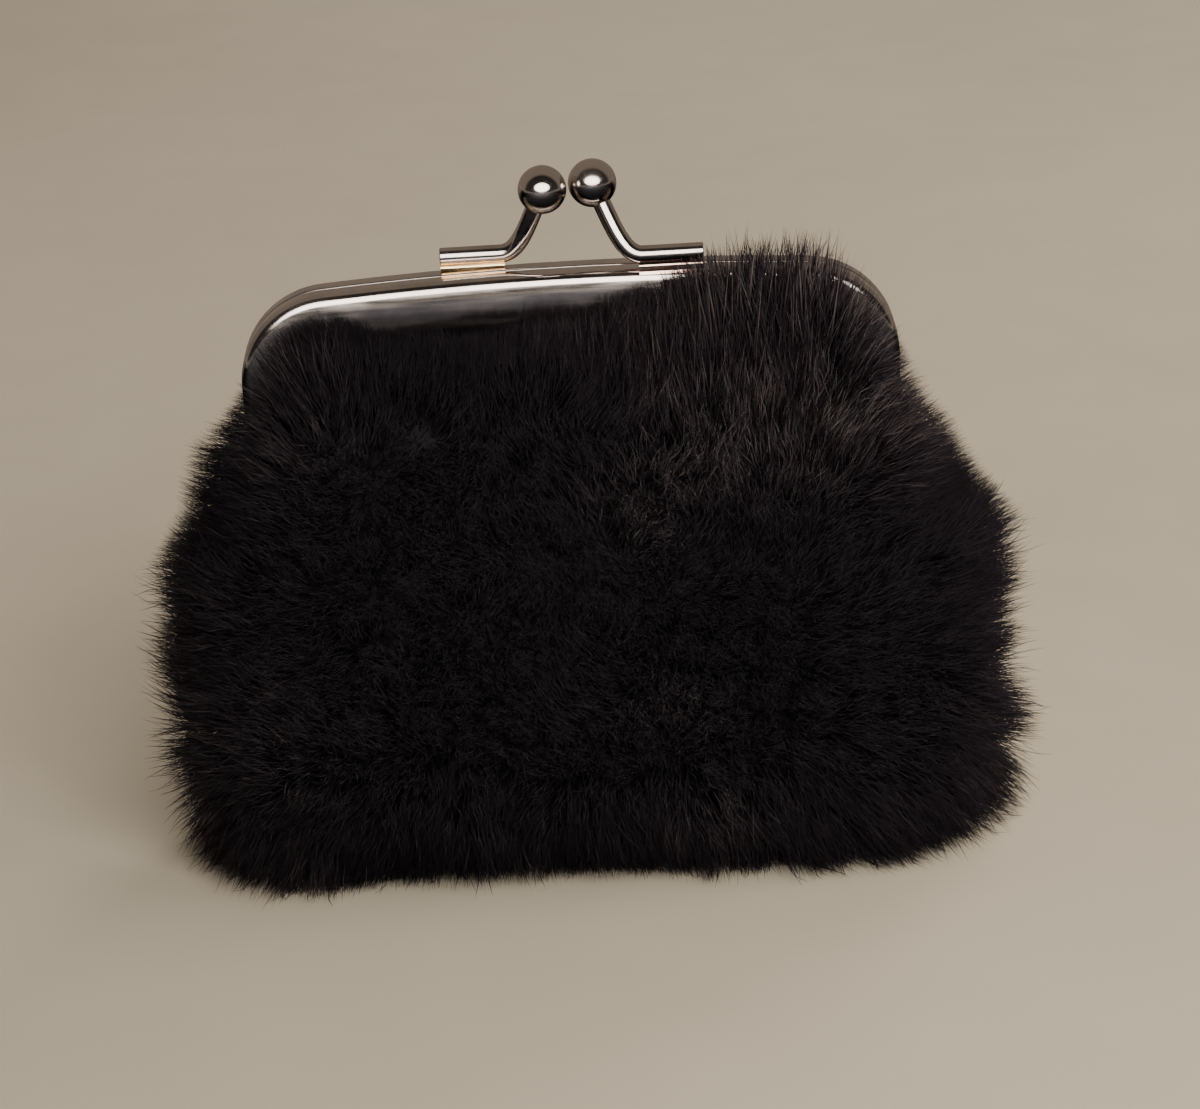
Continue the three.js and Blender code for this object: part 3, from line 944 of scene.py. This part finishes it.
# How far the left side stands out beyond the right side: low down, beside the leg, and how far the
# front is clipped in again at the corner.
LEFT = {"low": -1.6, "leg": 2.2, "corner": 2}
SLACK = {"waves": 2.4, "hair": (-1.4, 0.5)}
# The roots are painted paler than the hairs above them: painted fill light that lifts the shade deep in
# the pile.
FUR_ROOT_PAINTED_FILL = (0.028, 0.023, 0.030, 1)
FUR_DEEP = (0.0125, 0.0100, 0.0135, 1)
FUR_TIPS = [
    (0.0, (0.0058, 0.0045, 0.0066, 1)),
    (0.3, (0.0092, 0.0070, 0.0090, 1)),
    (1.0, (0.12, 0.096, 0.094, 1)),
]
# How pale the hairs' tips are: brown tips everywhere, with painted light on top of them: painted fill
# light low down and on the left, painted light on the back panel, a painted rim light at the sides, and
# painted glints in flecks. The power keeps the palest of them few.
PALE_TIPS_AND_PAINTED_LIGHT = {
    "all": 0.2, "low": 0.24, "behind": 0.22, "sides": 0.28, "left": 0.3, "painted_glints": 0.18, "power": 1.6,
}
# Patches of painted sheen, where the tips are painted paler as if they caught the light, placed by the
# tips, which are about this far above their roots.
TIP_RISE = 3
PAINTED_SHEEN_PATCHES = [
    {"across": 26, "up": 66, "wide": 20, "high": 15, "shine": 0.75},
    {"across": 30, "up": 78, "wide": 14, "high": 7, "shine": 0.5},
    {"across": -34, "up": 66, "wide": 7, "high": 8, "shine": 0.35},
    {"across": 1, "up": 71, "wide": 9, "high": 4, "shine": 0.4},
    {"across": 8, "up": 53, "wide": 8, "high": 6, "shine": 0.45},
    {"across": 11, "up": 27, "wide": 10, "high": 4, "shine": 0.35},
    {"across": 15, "up": 15, "wide": 8, "high": 3, "shine": 0.3},
    {"across": 28, "up": 5, "wide": 14, "high": 4, "shine": 0.25},
]
UV_NAME = "OFBake"
CHART_MARGIN = 0.01
CHART_WIDTH = 0.002


def stored(geometry, name, value, kind="FLOAT_VECTOR", domain="POINT"):
    return geometry.add(
        "GeometryNodeStoreNamedAttribute",
        {"Geometry": geometry, "Name": name, "Value": value},
        data_type=kind,
        domain=domain,
    )


def saved(start, name, kind="FLOAT_VECTOR"):
    return start.add("GeometryNodeInputNamedAttribute", {"Name": name}, data_type=kind)


def chance(start, low, high, seed):
    kind = "FLOAT_VECTOR" if isinstance(low, tuple) else "FLOAT"
    inputs = {"Min": low, "Max": high, "Seed": seed}
    return start.add("FunctionNodeRandomValue", inputs, data_type=kind)


def lean(place, normal, combed, start):
    """The way a hair points, as a unit vector: out of the cloth, then as it is brushed."""
    across, out, up = place.parts()
    middle = across.size().ramp(*MIDDLE, 1, 0)
    by_frame = up.ramp(*BY_FRAME)
    lobe = combed * across.ramp(*LOBE_ACROSS) * up.ramp(*LOBE_UP)
    # Down at the base, up over the belly and the rail, and further up on the right of the front.
    lift = (
        up.ramp(4, 24, BRUSH["falls"], BRUSH["rises"])
        + up.ramp(60, 70, 0, BRUSH["over_rail"]) * (middle * 0.5 + 0.5)
        + combed * across.ramp(-2, 14) * up.ramp(44, 60, 0, BRUSH["right_half"]) * (middle * 0.7 + 0.3)
        + lobe * middle * BRUSH["lobe"]
    )
    shoulder = across.size().ramp(32, 41) * up.ramp(*OVER_BELLY)
    spread = across / 40 * across.size().ramp(22, 36) * (0.3 + 0.9 * up.ramp(58, 70))
    spread = spread + across.sign() * shoulder * BRUSH["shoulder"]
    by_leg = across.size().ramp(38, 42) * up.ramp(40, 44) * up.ramp(56, 62, 1, 0)
    over_edge = out.sign() * by_leg * out.size().ramp(4.6, 10, BRUSH["over_edge"], 0)
    brushed = start.add("ShaderNodeCombineXYZ", {"X": spread, "Y": over_edge, "Z": lift})
    waves = (place.noise(0.055, 1, out="Color") - 0.5) * BRUSH["waves"]
    wisps = (place.noise(0.24, 1, out="Color") - 0.5) * BRUSH["wisps"]
    return (normal * (1 - 0.5 * by_frame - 0.2 * lobe) + brushed + waves + wisps).unit()


def past_line(place, combed, slack, start):
    """How far a place lies outside the line that the pile is clipped to, in millimetres."""
    across, out, up = place.parts()
    brow = start.add(
        "ShaderNodeFloatCurve",
        {"Value": across / (2 * BROW_SPAN) + 0.5},
        knots=[((x + BROW_SPAN) / (2 * BROW_SPAN), z / CURVE_SPAN) for x, z in BROW],
    ) * CURVE_SPAN
    level = up + out * BROW_SLOPE + REACH_LIFT
    reach = start.add(
        "ShaderNodeFloatCurve",
        {"Value": level / CURVE_SPAN},
        knots=[(z / CURVE_SPAN, x / CURVE_SPAN) for z, x in REACH],
    ) * CURVE_SPAN
    clipped_in = LEFT["leg"] + combed * LEFT["corner"]
    more = level.ramp(50, 60, LEFT["low"], LEFT["leg"]) - level.ramp(64, 71) * clipped_in
    reach = reach + across.below(0) * more
    top = combed * brow + (1 - combed) * BACK_BROW + slack
    rounding = CORNER_RADIUS / MM
    over_up = up - (out.size() - RAIL_CLEARANCE) * BROW_SLOPE - top + rounding
    over_side = across.size() - reach - slack * 0.5 + rounding
    corner = start.add("ShaderNodeCombineXYZ", {"X": over_up.at_least(0), "Y": over_side.at_least(0)})
    return corner.length() + over_up.at_least(over_side).at_most(0) - rounding


def pile_tree():
    """Hairs on a panel between two planes across it: each a thin closed bent spindle."""
    tree, given = new_tree("pile", [
        ("From", "Float"), ("To", "Float"), ("Density", "Float"), ("Length", "Float"),
        ("Girth", "Float"), ("Rings", "Int"), ("Tuft Spacing", "Float"), ("Combed", "Float"),
        ("Seed", "Int"), ("Material", "Material"),
    ])
    start = given["Geometry"]
    seed = given["Seed"]
    combed = given["Combed"]
    place = start.add("GeometryNodeInputPosition") / MM

    ground = start.add(
        "GeometryNodeDeleteGeometry",
        {"Geometry": start, "Selection": place.parts()[2].above(PILE_TOP)},
        domain="POINT",
    )
    roots = start.add(
        "GeometryNodeDistributePointsOnFaces",
        {"Mesh": ground, "Density": given["Density"], "Seed": seed},
        distribute_method="RANDOM",
    )
    roots = stored(roots, "normal", roots.other("Normal"))
    tufts = start.add(
        "GeometryNodeDistributePointsOnFaces",
        {
            "Mesh": ground, "Distance Min": given["Tuft Spacing"] * MM, "Density Max": TUFT_DENSITY,
            "Seed": 3,
        },
        distribute_method="POISSON",
    )
    tufts = stored(tufts, "normal", tufts.other("Normal"))

    normal = saved(start, "normal")
    across, _, up = place.parts()
    # At the base the hairs are shorter in the middle and longer at both ends.
    short = up.ramp(3, 15, 0.42, 0) * (across.ramp(-42, -22, -0.5, 1) - across.ramp(2, 34, 0, 1.25))
    lobe = combed * across.ramp(*LOBE_ACROSS) * across.ramp(34, 41, 1, 0.4) * up.ramp(*LOBE_UP)
    shoulder = across.size().ramp(26, 38) * up.ramp(*OVER_BELLY) * up.ramp(58, 64, 1, 0)
    shape = (1 - short) * (1 + LOBE["longer"] * lobe) * (1 + 0.15 * shoulder)
    shape = shape * up.ramp(62, 70, 1, 1.25)
    own_length = given["Length"] * shape * chance(start, *HAIR["length"], 5)
    own_length = own_length * (place.noise(0.09, 1) * 0.4 + 0.8)
    spray = chance(start, (-HAIR["spray"],) * 3, (HAIR["spray"],) * 3, 8)
    reach = (lean(place, normal, combed, start) + spray) * own_length
    slack = (place * 0.4).noise(1, 1) * SLACK["waves"] - SLACK["waves"] / 2
    slack = slack + chance(start, *SLACK["hair"], 21)
    slack = slack + lobe * chance(start, 0, 1, 22) ** 5 * LOBE["strays"]
    within = past_line(place, combed, slack, start).at_most(-1)
    beyond = past_line(place + reach, combed, slack, start).at_least(0)
    tip = place + reach * (within / (within - beyond))

    nearest = start.add(
        "GeometryNodeSampleNearest",
        {"Geometry": tufts, "Sample Position": start.add("GeometryNodeInputPosition")},
        domain="POINT",
    )

    def of_tuft(value):
        return start.add(
            "GeometryNodeSampleIndex",
            {"Geometry": tufts, "Value": value, "Index": nearest},
            data_type="FLOAT_VECTOR",
            domain="POINT",
        )

    shared = of_tuft(tip) + (place - of_tuft(place)) * TUFT_SPREAD
    pull = chance(start, *TUFT_PULL, seed + 1)
    drawn = start.add("ShaderNodeMix", {"Factor": pull, "A": tip, "B": shared}, data_type="VECTOR")

    roots = stored(roots, "tip", drawn)
    roots = stored(roots, "root", place)
    roots = stored(roots, "curl", chance(start, (-1, -1, -1), (1, 1, 1), seed + 4))
    # Tip paleness: brown tips, plus painted light: painted fill low down, on the back panel and on the
    # left, a painted rim at the sides, painted glints in flecks and painted sheen in patches.
    shine = PALE_TIPS_AND_PAINTED_LIGHT["all"] + up.ramp(4, 40, PALE_TIPS_AND_PAINTED_LIGHT["low"], 0) + (1 - combed) * PALE_TIPS_AND_PAINTED_LIGHT["behind"]
    shine = shine + across.size().ramp(43, 50, 0, PALE_TIPS_AND_PAINTED_LIGHT["sides"])
    shine = shine + across.ramp(-50, -20, PALE_TIPS_AND_PAINTED_LIGHT["left"], 0)
    shine = shine + place.noise(0.12, 2).ramp(0.55, 0.75, 0, PALE_TIPS_AND_PAINTED_LIGHT["painted_glints"])
    # Painted sheen: tips painted paler in patches.
    for patch in PAINTED_SHEEN_PATCHES:
        off_x = (across - patch["across"]) / patch["wide"]
        off_z = (up + TIP_RISE - patch["up"]) / patch["high"]
        near = (off_x * off_x + off_z * off_z).ramp(0.2, 1.6, 1, 0)
        shine = shine + combed * near * patch["shine"]
    tone = (chance(start, 0.0, 1.0, seed + 2) ** PALE_TIPS_AND_PAINTED_LIGHT["power"] * shine.at_most(1.0)).at_most(1.0)
    roots = stored(roots, "tone", tone, "FLOAT")
    girth = given["Girth"] * chance(start, *HAIR["girth"], seed + 3) * (1 + LOBE["thicker"] * lobe)
    roots = stored(roots, "girth", girth, "FLOAT")
    outside = across.below(given["From"]).at_least(across.above(given["To"]))
    roots = start.add(
        "GeometryNodeDeleteGeometry", {"Geometry": roots, "Selection": outside}, domain="POINT"
    )

    spindle = start.add(
        "GeometryNodeMeshUVSphere", {"Segments": 3, "Rings": given["Rings"], "Radius": 1}
    )
    spindle = stored(spindle, "shape", start.add("GeometryNodeInputPosition"))
    hairs = start.add("GeometryNodeInstanceOnPoints", {"Points": roots, "Instance": spindle})
    hairs = start.add("GeometryNodeRealizeInstances", {"Geometry": hairs})

    root, tip, normal = (saved(start, name) for name in ("root", "tip", "normal"))
    round_x, round_y, along = saved(start, "shape").parts()
    t = ((along + 1) / 2) ** 0.8
    reach = tip - root
    rise = (normal * HAIR["bow"] + saved(start, "curl") * HAIR["curl"]) * reach.length()
    middle = root + rise * (t * (1 - t)) + reach * (t * t)
    side_x = reach.cross(SKEW).unit()
    side_y = reach.cross(side_x).unit()
    width = saved(start, "girth", "FLOAT") * (HAIR["root_width"] - HAIR["taper"] * t)

    across, out, up = middle.parts()
    beside_leg = across.size().ramp(*BESIDE_LEG, 1, 0) * up.ramp(*LEG_FOOT)
    by_seam = across.size().ramp(*SEAM_SIDE) * up.ramp(*LEG_FOOT, 1, 0) + up.ramp(*SEAM_TOP, 1, 0)
    keep_off = beside_leg * (RAIL_CLEARANCE - PARTING_CLEARANCE) + PARTING_CLEARANCE
    keep_off = keep_off - by_seam.at_most(1) * SEAM_OVERLAP
    panel_side = root.parts()[1].sign()
    middle = start.add("ShaderNodeCombineXYZ", {
        "X": across,
        "Y": panel_side * (out * panel_side).at_least(keep_off),
        "Z": up.at_least(GROUND_CLEARANCE),
    })
    skin = middle + side_x * (round_x * width) + side_y * (round_y * width)
    hairs = start.add("GeometryNodeSetPosition", {"Geometry": hairs, "Position": skin * MM})
    chart_x = saved(start, "tone", "FLOAT") * (1 - 2 * CHART_MARGIN) + CHART_MARGIN
    chart = start.add("ShaderNodeCombineXYZ", {"X": chart_x + round_x * CHART_WIDTH, "Y": t})
    hairs = stored(hairs, UV_NAME, chart, "FLOAT2", "CORNER")
    hairs = start.add("GeometryNodeSetShadeSmooth", {"Geometry": hairs, "Shade Smooth": True})
    close_tree(hairs, given["Material"])
    return tree


def strand_chart(start):
    return start.add("ShaderNodeUVMap", uv_map=UV_NAME).parts()


def hair_colour(start):
    tone, along, _ = strand_chart(start)
    tips = start.add("ShaderNodeValToRGB", {"Fac": tone}, stops=FUR_TIPS)
    # Roots painted paler as fill light against the shade deep in the pile, then dark hairs, then brown
    # tips, paler where painted light is added.
    return along.ramp(0.0, 0.45).blend(FUR_ROOT_PAINTED_FILL, along.ramp(0.5, 0.95).blend(FUR_DEEP, tips))


def hair_roughness(start):
    return strand_chart(start)[0].ramp(0, 0.3, 0.52, 0.44)


pile = pile_tree()
hair = finish_of("dark_faux_fur", hair_colour, hair_roughness, Specular_IOR_Level=0.13)
tufted = {"front": [], "back": []}
for side, combed in (("front", 1.0), ("back", 0.0)):
    for zone, start, end in ZONES:
        coats = [
            run_tree(
                pile, grounds[side], **{"from": float(start), "to": float(end)},
                density=coat["density"], length=coat["length"], girth=coat["girth"],
                rings=coat["rings"], tuft_spacing=TUFT_SPACING, combed=combed,
                seed=coat["seed"], material=hair,
            )
            for coat in COATS
        ]
        fur = joined(f"{side}_pile_{zone}", coats)
        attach(fur, "root")
        tufted[side].append(fur)
for ground in grounds.values():
    bpy.data.objects.remove(ground)
